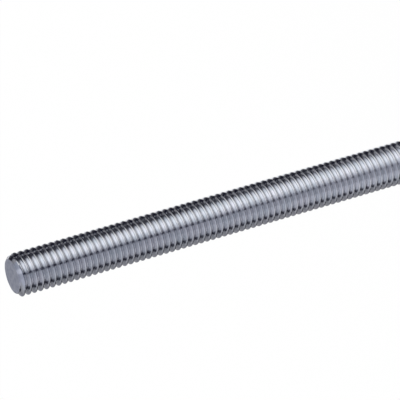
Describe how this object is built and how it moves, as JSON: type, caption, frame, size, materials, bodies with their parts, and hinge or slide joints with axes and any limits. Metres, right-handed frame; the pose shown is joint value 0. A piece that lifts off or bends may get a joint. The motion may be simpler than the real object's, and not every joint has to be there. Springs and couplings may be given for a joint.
{
  "type": "threaded rod",
  "caption": "Straight zinc-plated steel rod with a metric screw thread over its whole length and a chamfer at each end.",
  "frame": {"origin": "centre of the lower end face, on the surface that the rod stands on", "axes": "+Z along the rod's axis, up from the end that it stands on; +X and +Y square to it"},
  "size_m": [0.01, 0.01, 0.12],
  "materials": {
    "zinc_plated_steel": "bright zinc plating"
  },
  "bodies": {
    "root": {"threaded_rod": "zinc_plated_steel"}
  },
  "joints": []
}
